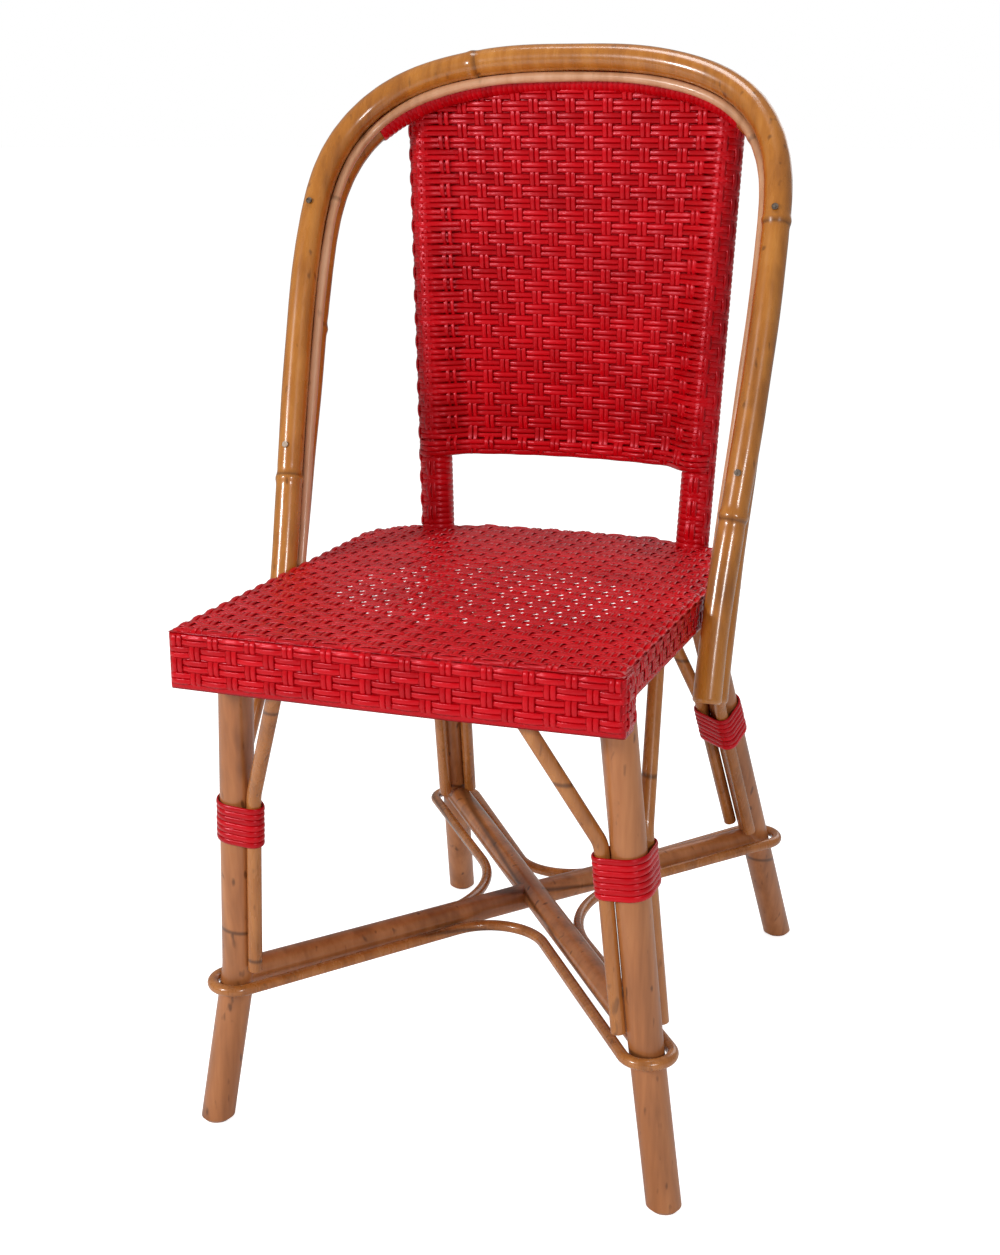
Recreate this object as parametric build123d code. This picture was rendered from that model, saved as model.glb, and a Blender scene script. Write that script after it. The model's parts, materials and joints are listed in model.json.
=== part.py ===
from build123d import *
import math
import os

os.makedirs("parts", exist_ok=True)

# Cane side chair. Millimetres, +Z up, front of the seat towards -Y, feet on z = 0.
# The origin is the middle of the whole chair's box, on the floor.

# Poles and canes
leg_radius = 14.0
stile_radius = 13.5
outer_hoop_radius = 11.5
inner_hoop_radius = 9.75
liner_radius = 4.25
side_rail_radius = 12.0
front_rail_radius = 10.0
back_rail_radius = 5.0
brace_radius = 6.0
stretcher_radius = 11.5
bow_radius = 4.75
foot_chamfer = 3.5
touch = 0.2  # clearance left between two canes that lie side by side

# Front legs: straight from the seat to a bend, then splayed outwards to the foot
front_leg_top = Vector(153.8, -241.1, 432.0)
front_leg_bend = Vector(176.2, -218.8, 140.0)
front_foot = Vector(197.5, -229.7, 0.0)
front_bend_radius = 60.0

# Rear legs: each one is bent at the seat and goes on up as a stile of the back
rear_foot = Vector(177.9, 294.5, 0.0)
rear_knee = Vector(122.0, 102.3, 437.0)
stile_top = Vector(139.4, 125.4, 826.0)
knee_radius = 60.0

# Outer hoop, right half, from its cut end up to the middle of the top
hoop_half = [
    (190.2, -104.0, 378.0),
    (192.6, -73.5, 475.0),
    (198.4, -46.0, 553.0),
    (204.0, -10.0, 656.0),
    (204.8, 24.0, 745.0),
    (196.0, 54.5, 799.0),
    (166.0, 81.5, 839.0),
    (111.5, 99.0, 863.4),
    (56.0, 105.6, 872.2),
]
hoop_top = (0.0, 107.0, 873.7)
hoop_lean_low = 0.35  # how far the hoop leans back for each unit of height
hoop_lean_high = 0.75
lean_changes_from = 740.0
lean_changes_to = 872.0

# Where the inner hoop and the liner cane lie beside the outer hoop
inner_hoop_back = 22.7
inner_hoop_inward = 5.0
inner_hoop_inward_low = -2.0
liner_back = 9.0
liner_inward = 13.2
liner_back_low = 12.8
liner_inward_low = 9.8
spread_low = 410.0
spread_high = 640.0

# Binding of the arch, along the inner hoop between the two stiles
arch_skin = 1.75
arch_left_end = 0.356
arch_right_end = 0.626

# Seat
seat_top = 455.5
seat_sheet = 3.9
seat_half_width = 176.0
seat_back_arc_radius = 331.6
seat_back_arc_top = 133.0
seat_corner_radius = 47.0
side_band_bottom = 424.0
band_sheet = 3.2
band_under = 28.0
side_rail_inset = 15.5
side_rail_height = 439.5
front_band_half_width = 181.0
front_band_face = -303.0
front_band_bow = 2.4
front_band_depth = 29.5
front_band_bottom = 408.0
front_band_sheet = 3.0
front_rail_line = -288.2
front_rail_upper_height = 441.4
front_rail_lower_height = 421.1

# Woven back
back_bottom = 522.0
back_bottom_bow = 24.5
back_sheet = 7.0
back_roll_radius = 7.2
back_top_line = 124.0
back_top_height = 862.0

# Bindings
stile_skin = 2.0
binding_skin = 2.6
front_binding_low = 262.0
front_binding_high = 297.0
rear_binding_low = 256.0
rear_binding_high = 289.0

# Braces
brace_gap = leg_radius + brace_radius + touch
brace_bend_radius = 30.0
brace_bend_above_binding = 8.0

# Stretcher and the bow canes that follow its arms
through_pole_height = 136.0
half_pole_front_height = 134.0
half_pole_middle_height = 132.0
half_pole_stops_short = 5.0
half_pole_rear_height = 127.0
bow_height = 127.0
bow_beside_arm = 16.6
ring_radius_front = 20.0
ring_radius_rear = 22.0
bend_radius_front_rear = 50.0
bend_radius_left_right = 120.0

# Nails in the hoop
nail_head_radius = 2.7
nail_head_height = 0.9
nail_heights = (550.0, 750.0)

up = Vector(0, 0, 1)


def mirrored(point, side):
    """The same point on the right (side = 1) or on the left (side = -1)."""
    return Vector(point.X * side, point.Y, point.Z)


def flipped(shape, side):
    """A shape made for the right, or its mirror image for the left."""
    return shape if side > 0 else mirror(shape, about=Plane.YZ)


def tube(path, radius):
    """A round pole of one radius along a path."""
    start = Plane(origin=path @ 0, z_dir=path % 0)
    return sweep(start * Circle(radius), path=path)


def rod(start, end, radius):
    """A straight round pole between two points."""
    along = end - start
    return Solid.make_cylinder(radius, along.length, Plane(origin=start, z_dir=along))


def above_floor(shape):
    """Cuts a leg off level with the floor and takes the sharp edge off its foot."""
    leg = split(shape, bisect_by=Plane.XY, keep=Keep.TOP)
    foot_edges = leg.edges().group_by(Axis.Z)[0]
    return chamfer(foot_edges, foot_chamfer)


def less(shape, *others):
    """Copes a shape to its neighbours."""
    for other in others:
        shape = shape - other
    return shape


def keep_largest(shape):
    """Drops the crumbs that coping leaves on the far side of a pole."""
    return shape.solids().sort_by(SortBy.VOLUME)[-1]


def line_at_height(low, high, z):
    """The point at height z on the line through two points."""
    share = (z - low.Z) / (high.Z - low.Z)
    return low + (high - low) * share


def beside(point, along, towards, distance):
    """A point set off square from a pole, towards a given side."""
    square = towards - along * towards.dot(along)
    return point + square.normalized() * distance


# ---------------------------------------------------------------- legs


def front_leg_line():
    """Centre line of the right front leg, from below the floor to the seat rail."""
    below = front_foot + (front_foot - front_leg_bend).normalized() * 40
    return FilletPolyline(below, front_leg_bend, front_leg_top, radius=front_bend_radius)


def rear_pole_line():
    """Centre line of the right rear leg and stile."""
    below = rear_foot + (rear_foot - rear_knee).normalized() * 40
    return FilletPolyline(below, rear_knee, stile_top, radius=knee_radius)


front_leg_along = (front_leg_top - front_leg_bend).normalized()
rear_leg_along = (rear_knee - rear_foot).normalized()
stile_along = (stile_top - rear_knee).normalized()
front_leg_raw = above_floor(tube(front_leg_line(), leg_radius))
rear_pole_raw = above_floor(tube(rear_pole_line(), stile_radius))


# ---------------------------------------------------------------- hoops


def blend(value, low, high):
    """A smooth step from 0 at low to 1 at high."""
    share = min(max((value - low) / (high - low), 0.0), 1.0)
    return share * share * (3 - 2 * share)


def outer_hoop_line():
    """Centre line of the outer hoop, from the left cut end to the right one."""
    left = [(-x, y, z) for x, y, z in hoop_half]
    right = list(reversed(hoop_half))
    return Spline(*left, hoop_top, *right)


def hoop_side_points(inward, inward_low, back, back_low, first_share, stations):
    """Points of a cane that follows the outer hoop, set inwards and backwards from it."""
    line = outer_hoop_line()
    points = []
    for step in range(stations):
        share = first_share + (1 - first_share) * step / (stations - 1)
        at = line @ share
        along = line % share
        lean = hoop_lean_low + (hoop_lean_high - hoop_lean_low) * blend(
            at.Z, lean_changes_from, lean_changes_to
        )
        backward = Vector(0, 1, -lean)
        backward = (backward - along * backward.dot(along)).normalized()
        toward_middle = backward.cross(along)
        high_share = blend(at.Z, spread_low, spread_high)
        set_in = inward_low + (inward - inward_low) * high_share
        set_back = back_low + (back - back_low) * high_share
        points.append(at + toward_middle * set_in + backward * set_back)
    return points


def half_liner():
    """The liner cane from the top of the hoop to its cut end on one side."""
    points = hoop_side_points(
        liner_inward, liner_inward_low, liner_back, liner_back_low, 0.5, 13
    )
    points[0] = Vector(0, points[0].Y, points[0].Z)
    level = Vector(1, 0, 0) if points[1].X > 0 else Vector(-1, 0, 0)
    last = (points[-1] - points[-2]).normalized()
    return tube(Spline(*points, tangents=[level, last]), liner_radius)


hoop_line = outer_hoop_line()
inner_line = Spline(
    *hoop_side_points(
        inner_hoop_inward, inner_hoop_inward_low, inner_hoop_back, inner_hoop_back, 0, 21
    )
)
outer_hoop = tube(hoop_line, outer_hoop_radius)
inner_hoop = tube(inner_line, inner_hoop_radius)
hoop_liner = half_liner() + flipped(half_liner(), -1)


def arch_line():
    """The stretch of the inner hoop that is bound."""
    return inner_line.trim(arch_left_end, arch_right_end)


arch_solid = tube(arch_line(), inner_hoop_radius + arch_skin)
arch_binding = less(arch_solid, inner_hoop)


def nail_heads():
    """Small flat nail heads on the front of the outer hoop."""
    heads = []
    for height in nail_heights:
        for side in (-1, 1):
            share = share_at_height(height, side)
            at = hoop_line @ share
            along = hoop_line % share
            forward = Vector(0, -1, hoop_lean_low)
            forward = (forward - along * forward.dot(along)).normalized()
            tip = at + forward * (outer_hoop_radius + nail_head_height)
            heads.append(less(rod(at, tip, nail_head_radius), outer_hoop))
    return Compound(children=[keep_largest(head) for head in heads])


def share_at_height(height, side):
    """How far along the outer hoop a height is reached, by halving."""
    low, high = 0.0, 0.4
    for _ in range(30):
        middle = (low + high) / 2
        if (hoop_line @ middle).Z < height:
            low = middle
        else:
            high = middle
    return low if side < 0 else 1 - low


# ---------------------------------------------------------------- seat


def seat_corner(inset):
    """Centre of the rear corner arc, and the big rear arc's centre, for an inset outline."""
    corner_x = seat_half_width - seat_corner_radius
    big_centre_y = seat_back_arc_top - seat_back_arc_radius
    reach = seat_back_arc_radius - seat_corner_radius
    corner_y = big_centre_y + math.sqrt(reach**2 - corner_x**2)
    return Vector(corner_x, corner_y), Vector(0, big_centre_y), seat_corner_radius - inset


def seat_ring(inset, front, height):
    """The seat's outline set in by a distance, open at the front, at a height."""
    corner, big_centre, radius = seat_corner(inset)
    side_x = seat_half_width - inset
    big_radius = seat_back_arc_radius - inset
    outward = (corner - big_centre).normalized()
    half_turn = (outward + Vector(1, 0)).normalized()
    side_front = Vector(side_x, front)
    side_back = Vector(side_x, corner.Y)
    corner_middle = corner + half_turn * radius
    corner_back = corner + outward * radius
    top = big_centre + Vector(0, big_radius)
    lift = up * height
    right = [
        Line(side_front + lift, side_back + lift),
        ThreePointArc(side_back + lift, corner_middle + lift, corner_back + lift),
    ]
    rear = ThreePointArc(
        corner_back + lift, top + lift, mirrored(corner_back, -1) + lift
    )
    left = [
        ThreePointArc(
            mirrored(corner_back, -1) + lift,
            mirrored(corner_middle, -1) + lift,
            mirrored(side_back, -1) + lift,
        ),
        Line(mirrored(side_back, -1) + lift, mirrored(side_front, -1) + lift),
    ]
    return Wire([*right, rear, *left])


def seat_area(inset, front):
    """The flat area inside the inset outline, behind a line across the front."""
    ring = seat_ring(inset, front, 0)
    closing = Line(ring @ 1, ring @ 0)
    return make_face(ring.edges() + [closing.edge()])


def seat_slab(inset, front, low, high):
    """The inset seat area between two heights."""
    return extrude(Pos(0, 0, low) * seat_area(inset, front), high - low)


def front_plan(set_in):
    """Plan of the bowed front box, set in by a wall thickness."""
    half = front_band_half_width - set_in
    face = front_band_face + front_band_bow + set_in
    rear = front_band_face + front_band_depth - set_in
    bow = ThreePointArc((-half, face), (0, face - front_band_bow), (half, face))
    sides = Polyline((half, face), (half, rear), (-half, rear), (-half, face))
    return make_face(bow.edges() + sides.edges())


def front_box(set_in, low, high):
    """A box with the bowed front's plan."""
    return extrude(Pos(0, 0, low) * front_plan(set_in), high - low)


def front_rail(height):
    """One of the two canes stacked inside the front edge of the seat."""
    half = front_band_half_width - front_band_sheet - touch
    ends_y = front_rail_line
    middle_y = front_rail_line - front_band_bow
    line = ThreePointArc(
        (-half, ends_y, height), (0, middle_y, height), (half, ends_y, height)
    )
    return tube(line, front_rail_radius)


front_rail_upper = front_rail(front_rail_upper_height)
front_rail_lower = front_rail(front_rail_lower_height)
front_rear_face = front_band_face + front_band_depth
rail_ring = tube(
    seat_ring(side_rail_inset, front_rear_face + touch, side_rail_height),
    side_rail_radius,
)
rear_poles = [flipped(rear_pole_raw, side) for side in (1, -1)]
front_legs_raw = [flipped(front_leg_raw, side) for side in (1, -1)]
seat_rail = keep_largest(less(rail_ring, *rear_poles))


def seat_weave():
    """The flat top of the woven seat, cut round the stiles."""
    ring_part = seat_slab(0, front_rear_face, seat_top - seat_sheet, seat_top)
    front_part = front_box(0, seat_top - seat_sheet, seat_top)
    return keep_largest(less(ring_part + front_part, *rear_poles))


def side_wrap():
    """The woven skin round the side and rear rails: an outer wall and an underside."""
    start = front_rear_face
    high = seat_top - seat_sheet
    outside = seat_slab(0, start, side_band_bottom, high)
    hollow = seat_slab(band_sheet, start - 5, side_band_bottom + band_sheet, high + 5)
    middle = seat_slab(band_under, start - 5, side_band_bottom - 5, high + 5)
    wrap = outside - hollow - middle
    return less(wrap, *front_legs_raw, *rear_poles, rail_ring)


def front_wrap():
    """The woven skin of the front edge: front, rear and end walls and an underside."""
    high = seat_top - seat_sheet
    outside = front_box(0, front_band_bottom, high)
    wall = front_band_sheet
    hollow = front_box(wall, front_band_bottom + wall, high + 5)
    return less(outside - hollow, front_rail_upper, front_rail_lower)


seat_weave_top = seat_weave()
seat_front_band = keep_largest(front_wrap())
seat_edge_band = keep_largest(side_wrap())
front_legs = {
    side: keep_largest(less(flipped(front_leg_raw, side), seat_rail))
    for side in (1, -1)
}
rear_poles_cut = {
    side: keep_largest(less(flipped(rear_pole_raw, side), arch_solid))
    for side in (1, -1)
}


# ---------------------------------------------------------------- back


def stile_at(z):
    """Point on the right stile's centre line."""
    return line_at_height(rear_knee, stile_top, z)


def stile_sleeve(side):
    """The wound binding of a stile, from the seat to the arch."""
    low = stile_at(seat_top + 1.5)
    high = stile_at(815)
    outer = rod(low, high, stile_radius + stile_skin)
    outer = less(flipped(outer, side), seat_weave_top)
    return less(outer, rear_poles[0 if side > 0 else 1], arch_solid)


def back_rail_line():
    """The bowed cane inside the lower edge of the woven back."""
    at = stile_at(back_bottom + back_roll_radius)
    middle = Vector(0, at.Y + back_bottom_bow, at.Z)
    return ThreePointArc(mirrored(at, -1), middle, at)


def bowed_strip(z, end_x, end_y, bow, thickness):
    """A thin bowed strip, the woven back's section at one height."""
    half = thickness / 2
    near = ThreePointArc(
        (-end_x, end_y - half, z), (0, end_y - half + bow, z), (end_x, end_y - half, z)
    )
    far = ThreePointArc(
        (-end_x, end_y + half, z), (0, end_y + half + bow, z), (end_x, end_y + half, z)
    )
    ends = [Line(near @ 0, far @ 0), Line(near @ 1, far @ 1)]
    return make_face(near.edges() + far.edges() + [end.edge() for end in ends])


def under_arch():
    """A block that reaches up to the inner hoop's centre line."""
    shares = [0.2 + 0.6 * step / 16 for step in range(17)]
    points = [(inner_line @ share) for share in shares]
    flat = [(point.X, point.Z) for point in points]
    arch = Spline(*flat)
    low = back_bottom + back_roll_radius
    sides = Polyline(flat[-1], (flat[-1][0], low), (flat[0][0], low), flat[0])
    area = make_face(arch.edges() + sides.edges())
    return extrude(Plane.XZ * area, 400, both=True)


back_rail_solid = tube(back_rail_line(), back_rail_radius)
stile_sleeves_solid = {side: stile_sleeve(side) for side in (1, -1)}
back_lower_rail = keep_largest(less(back_rail_solid, *rear_poles))
stile_bindings = {
    side: keep_largest(less(stile_sleeves_solid[side], back_rail_solid))
    for side in (1, -1)
}


def woven_back():
    """The woven sheet between the stiles, from its rolled lower edge to the arch."""
    low = stile_at(back_bottom + back_roll_radius)
    low_strip = bowed_strip(
        low.Z, low.X, low.Y, back_bottom_bow, back_sheet
    )
    high = stile_at(back_top_height)
    high_strip = bowed_strip(
        back_top_height, high.X, back_top_line, -6.0, back_sheet
    )
    sheet = loft([low_strip, high_strip], ruled=True)
    sheet = sheet & under_arch()
    roll = tube(back_rail_line(), back_roll_radius)
    sheet = sheet + roll
    cutters = [back_rail_solid, arch_solid]
    sleeves = [
        flipped(rod(stile_at(460), stile_at(900), stile_radius + stile_skin), side)
        for side in (1, -1)
    ]
    return keep_largest(less(sheet, *sleeves, *cutters))


back_weave = woven_back()


# ---------------------------------------------------------------- braces and bindings


def brace(top, leg_low, leg_high, along, towards, bend_height, end_height):
    """A thin cane: a diagonal down to the leg, then straight down beside it."""
    bend = beside(line_at_height(leg_low, leg_high, bend_height), along, towards, brace_gap)
    end = beside(line_at_height(leg_low, leg_high, end_height), along, towards, brace_gap)
    return tube(FilletPolyline(top, bend, end, radius=brace_bend_radius), brace_radius)


def front_brace(top, towards, end_height):
    """A brace of the right front leg."""
    bend_height = front_binding_high + brace_bend_above_binding
    return brace(
        top, front_leg_bend, front_leg_top, front_leg_along, towards, bend_height, end_height
    )


def rear_brace(top, towards, end_height):
    """A brace of the right rear leg."""
    bend_height = rear_binding_high + brace_bend_above_binding
    return brace(
        top, rear_foot, rear_knee, rear_leg_along, towards, bend_height, end_height
    )


def leg_binding(leg_point, along, length, sides, legs_and_braces):
    """The wound strands that tie two braces to a leg, as one sleeve."""
    x_way = beside(Vector(0, 0, 0), along, Vector(1, 0, 0), 1)
    section = Plane(origin=leg_point, x_dir=x_way, z_dir=along)
    with BuildSketch(section) as outline:
        Circle(leg_radius + binding_skin)
        for towards in sides:
            spot = section.to_local_coords(beside(leg_point, along, towards, brace_gap))
            with Locations((spot.X, spot.Y)):
                Circle(brace_radius + binding_skin)
        make_hull()
    sleeve = extrude(outline.sketch, length)
    return keep_largest(less(sleeve, *legs_and_braces))


front_inner_way = Vector(-0.93, -0.36, 0)
front_rear_way = Vector(0.42, 0.91, 0)
rear_inner_way = Vector(-0.94, -0.34, 0)
rear_front_way = Vector(0.12, -0.99, 0)
front_leg_front_brace = front_brace(Vector(93, -289, 421), front_inner_way, 146)
front_leg_side_brace = front_brace(Vector(161, -148, 438), front_rear_way, 143)
rear_leg_back_brace = rear_brace(Vector(66, 110, 438), rear_inner_way, 152)
rear_leg_side_brace = rear_brace(Vector(160.5, 42, 438), rear_front_way, 152)
wraps = [seat_front_band, seat_edge_band]
rails = [front_rail_lower, front_rail_upper, seat_rail]
right_braces = {
    "front_leg_front_brace": front_leg_front_brace,
    "front_leg_side_brace": front_leg_side_brace,
    "rear_leg_back_brace": rear_leg_back_brace,
    "rear_leg_side_brace": rear_leg_side_brace,
}
for name, cane in right_braces.items():
    right_braces[name] = keep_largest(less(cane, *wraps, *rails))

front_binding = leg_binding(
    line_at_height(front_leg_bend, front_leg_top, front_binding_low),
    front_leg_along,
    (front_binding_high - front_binding_low) / front_leg_along.Z,
    [front_inner_way, front_rear_way],
    [front_leg_raw, front_leg_front_brace, front_leg_side_brace],
)
rear_binding = leg_binding(
    line_at_height(rear_foot, rear_knee, rear_binding_low),
    rear_leg_along,
    (rear_binding_high - rear_binding_low) / rear_leg_along.Z,
    [rear_inner_way, rear_front_way],
    [rear_pole_raw, rear_leg_back_brace, rear_leg_side_brace],
)


# ---------------------------------------------------------------- stretcher


def front_leg_at(z):
    """Point on the right front leg's centre line."""
    if z < front_leg_bend.Z:
        return line_at_height(front_foot, front_leg_bend, z)
    return line_at_height(front_leg_bend, front_leg_top, z)


def rear_leg_at(z):
    """Point on the right rear leg's centre line."""
    return line_at_height(rear_foot, rear_knee, z)


def crossing():
    """Plan point where the two diagonals cross."""
    front = front_leg_at(through_pole_height)
    rear = rear_leg_at(through_pole_height)
    share = rear.X / (rear.X + front.X)
    return Vector(0, rear.Y + (front.Y - rear.Y) * share, 0)


all_legs = front_legs_raw + rear_poles
through_pole = rod(
    mirrored(rear_leg_at(through_pole_height), -1),
    front_leg_at(through_pole_height),
    stretcher_radius,
)
stretcher_through = keep_largest(less(through_pole, *all_legs))
middle_point = crossing() + up * half_pole_middle_height


def half_pole(leg_point, leg):
    """One half of the cut diagonal, coped to its leg and to the through pole."""
    short = middle_point + (leg_point - middle_point).normalized() * half_pole_stops_short
    return keep_largest(less(rod(leg_point, short, stretcher_radius), leg, through_pole))


stretcher_half_front = half_pole(
    mirrored(front_leg_at(half_pole_front_height), -1), front_legs_raw[1]
)
stretcher_half_rear = half_pole(rear_leg_at(half_pole_rear_height), rear_poles[0])


def turned(vector, angle):
    """A plan vector turned by an angle in radians."""
    cosine, sine = math.cos(angle), math.sin(angle)
    return Vector(
        vector.X * cosine - vector.Y * sine, vector.X * sine + vector.Y * cosine
    )


def leaving_leg(leg, centre, side, ring_radius):
    """Plan points of a bow cane round one leg: start, middle of the arc, and where it leaves."""
    to_centre = (centre - leg).normalized()
    lateral = turned(to_centre, math.pi / 2) * side
    passing = centre + lateral * bow_beside_arm
    back = leg - passing
    swing = math.asin(ring_radius / back.length)
    run = math.sqrt(back.length**2 - ring_radius**2)
    leaves = passing + turned(back.normalized(), -swing * side) * run
    start = leg - to_centre * ring_radius
    half_way = ((leaves - leg).normalized() - to_centre).normalized()
    if half_way.dot(lateral) < 0:
        half_way = half_way * -1
    return start, leg + half_way * ring_radius, leaves, passing


def meeting(a, a_far, b, b_far):
    """Plan point where two lines meet."""
    first, second = a_far - a, b_far - b
    across = first.X * second.Y - first.Y * second.X
    share = ((b.X - a.X) * second.Y - (b.Y - a.Y) * second.X) / across
    return a + first * share


def bow_cane(leg_a, leg_b, bend_radius, ring_a, ring_b):
    """A cane round half of leg a, along two arms and round half of leg b."""
    centre = crossing()
    start_a, round_a, leaves_a, pass_a = leaving_leg(leg_a, centre, -1, ring_a)
    start_b, round_b, leaves_b, pass_b = leaving_leg(leg_b, centre, 1, ring_b)
    corner = meeting(leaves_a, pass_a, leaves_b, pass_b)
    lift = up * bow_height
    first = ThreePointArc(start_a + lift, round_a + lift, leaves_a + lift)
    bend = FilletPolyline(
        leaves_a + lift, corner + lift, leaves_b + lift, radius=bend_radius
    )
    last = ThreePointArc(leaves_b + lift, round_b + lift, start_b + lift)
    path = Wire([first.edge(), *bend.edges(), last.edge()])
    return tube(path, bow_radius)


def plan(point):
    """A point brought down to the plan."""
    return Vector(point.X, point.Y, 0)


fr = plan(front_leg_at(bow_height))
fl = mirrored(fr, -1)
rr = plan(rear_leg_at(bow_height))
rl = mirrored(rr, -1)
ring_f = ring_radius_front
ring_r = ring_radius_rear
bow_canes = {
    "bow_cane_front": bow_cane(fl, fr, bend_radius_front_rear, ring_f, ring_f),
    "bow_cane_right": bow_cane(fr, rr, bend_radius_left_right, ring_f, ring_r),
    "bow_cane_rear": bow_cane(rr, rl, bend_radius_front_rear, ring_r, ring_r),
    "bow_cane_left": bow_cane(rl, fl, bend_radius_left_right, ring_r, ring_f),
}


# ---------------------------------------------------------------- writing

side_names = {1: "right", -1: "left"}
nodes = {
    "outer_hoop": outer_hoop,
    "inner_hoop": inner_hoop,
    "hoop_liner_cane": hoop_liner,
    "arch_binding": arch_binding,
    "nail_heads": nail_heads(),
    "seat_front_rail_upper": front_rail_upper,
    "seat_front_rail_lower": front_rail_lower,
    "seat_rail": seat_rail,
    "seat_weave_top": seat_weave_top,
    "seat_front_band": seat_front_band,
    "seat_edge_band": seat_edge_band,
    "back_lower_rail": back_lower_rail,
    "back_weave": back_weave,
    "stretcher_through": stretcher_through,
    "stretcher_half_front_left": stretcher_half_front,
    "stretcher_half_rear_right": stretcher_half_rear,
}
nodes.update(bow_canes)
for side, side_name in side_names.items():
    nodes["front_leg_" + side_name] = front_legs[side]
    nodes["rear_leg_" + side_name] = rear_poles_cut[side]
    nodes["stile_binding_" + side_name] = stile_bindings[side]
    nodes["front_leg_binding_" + side_name] = flipped(front_binding, side)
    nodes["rear_leg_binding_" + side_name] = flipped(rear_binding, side)
    for name, cane in right_braces.items():
        nodes[name + "_" + side_name] = flipped(cane, side)

every_solid = [solid for shape in nodes.values() for solid in shape.solids()]
box = Compound(every_solid).bounding_box()
to_middle = Pos(-box.center().X, -box.center().Y, -box.min.Z)
for name, shape in nodes.items():
    export_step(to_middle * shape, "parts/" + name + ".step")

print(len(nodes), "nodes, size", box.size, "moved by", to_middle.position)
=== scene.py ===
import json
import math
import random

import bpy
import numpy as np
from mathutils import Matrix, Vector


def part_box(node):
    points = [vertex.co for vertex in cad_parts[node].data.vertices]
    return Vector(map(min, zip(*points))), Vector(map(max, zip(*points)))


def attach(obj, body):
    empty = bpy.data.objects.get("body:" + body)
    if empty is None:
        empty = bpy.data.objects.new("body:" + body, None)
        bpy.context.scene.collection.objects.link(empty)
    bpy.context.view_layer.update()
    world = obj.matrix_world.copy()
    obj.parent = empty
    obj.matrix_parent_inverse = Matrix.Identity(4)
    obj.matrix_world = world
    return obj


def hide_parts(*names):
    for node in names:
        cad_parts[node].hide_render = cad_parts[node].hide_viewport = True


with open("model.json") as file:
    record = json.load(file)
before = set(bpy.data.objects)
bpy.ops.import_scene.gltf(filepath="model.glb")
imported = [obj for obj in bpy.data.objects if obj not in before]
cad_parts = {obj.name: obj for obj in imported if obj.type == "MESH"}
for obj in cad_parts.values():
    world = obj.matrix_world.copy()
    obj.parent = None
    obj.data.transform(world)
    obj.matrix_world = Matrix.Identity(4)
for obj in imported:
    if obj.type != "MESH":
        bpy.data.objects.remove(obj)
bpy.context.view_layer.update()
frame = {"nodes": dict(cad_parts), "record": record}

mm = 0.001
draw = random.Random(7)

# ------------------------------------------------------------ sizes read off the frame

seat_low, seat_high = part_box("seat_weave_top")
front_low, front_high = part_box("seat_front_band")
edge_low, edge_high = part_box("seat_edge_band")
back_low, back_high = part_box("back_weave")
rail_low, rail_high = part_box("back_lower_rail")

seat_half = edge_high.x
front_half = front_high.x
front_face = front_low.y
front_bow = 2.4 * mm
front_rear = front_high.y
corner_radius = 47 * mm
rear_arc_radius = 331.6 * mm
rear_arc_top = edge_high.y
y_shift = front_face + 303 * mm  # from the front face's first place to where the CAD has it

# The strand: a flat oval strip, always laid in pairs
strand_half_width = 2.4 * mm
strand_step = 2.55 * mm
strand_half_thick = 0.6 * mm
pair_spread = 2.35 * mm
wave_depth = 0.72 * mm
seat_pair_pitch_x = 15.6 * mm
seat_pair_pitch_y = 10.3 * mm
back_pair_pitch_x = 16.2 * mm
back_pair_pitch_z = 10.4 * mm

# Directions that are used throughout
upward = np.array([0.0, 0.0, 1.0])
rightward = np.array([1.0, 0.0, 0.0])


# ------------------------------------------------------------ strands as meshes


def unit(v):
    """Row vectors brought to length one."""
    return v / np.maximum(np.linalg.norm(v, axis=-1, keepdims=True), 1e-12)


def settle(line, outward, closed=False):
    """Tangents, sideways and outward directions along a line."""
    if closed:
        tangent = np.roll(line, -1, axis=0) - np.roll(line, 1, axis=0)
    else:
        tangent = np.gradient(line, axis=0)
    tangent = unit(tangent)
    side = unit(np.cross(tangent, outward))
    return tangent, side, unit(np.cross(side, tangent))


def length_along(points):
    """Distance from the start of an open line to each of its points."""
    gaps = np.linalg.norm(np.diff(points, axis=0), axis=1)
    return np.concatenate([[0], np.cumsum(gaps)])


def evenly(points, step):
    """The same open line with points one step apart, and the length at each."""
    length = length_along(points)
    count = max(4, int(round(length[-1] / step)) + 1)
    at = np.linspace(0, length[-1], count)
    moved = [np.interp(at, length, points[:, k]) for k in range(points.shape[1])]
    return np.stack(moved, 1), at


def rounded(corners, radii):
    """A polyline in a plane with each inner corner turned into an arc."""
    nearly_straight = 1.55
    arc_steps = 8
    corners = [np.array(c, float) for c in corners]
    made = [corners[0]]
    for before, corner, after, radius in zip(corners, corners[1:], corners[2:], radii):
        a = unit(before - corner)
        b = unit(after - corner)
        half = math.acos(max(-1, min(1, float(a @ b)))) / 2
        if half > nearly_straight:
            made.append(corner)
            continue
        centre = corner + unit(a + b) * radius / math.sin(half)
        start = corner + a * radius / math.tan(half) - centre
        end = corner + b * radius / math.tan(half) - centre
        turn = math.pi - 2 * half
        for step in range(arc_steps + 1):
            share = step / arc_steps
            mix = math.sin((1 - share) * turn) * start + math.sin(share * turn) * end
            made.append(centre + mix / math.sin(turn))
    made.append(corners[-1])
    return np.array(made)


def at_height(flat, z):
    """Plan points brought to a height, or plan directions given a rise."""
    return np.stack([flat[:, 0], flat[:, 1], np.full(len(flat), z)], 1)


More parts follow.
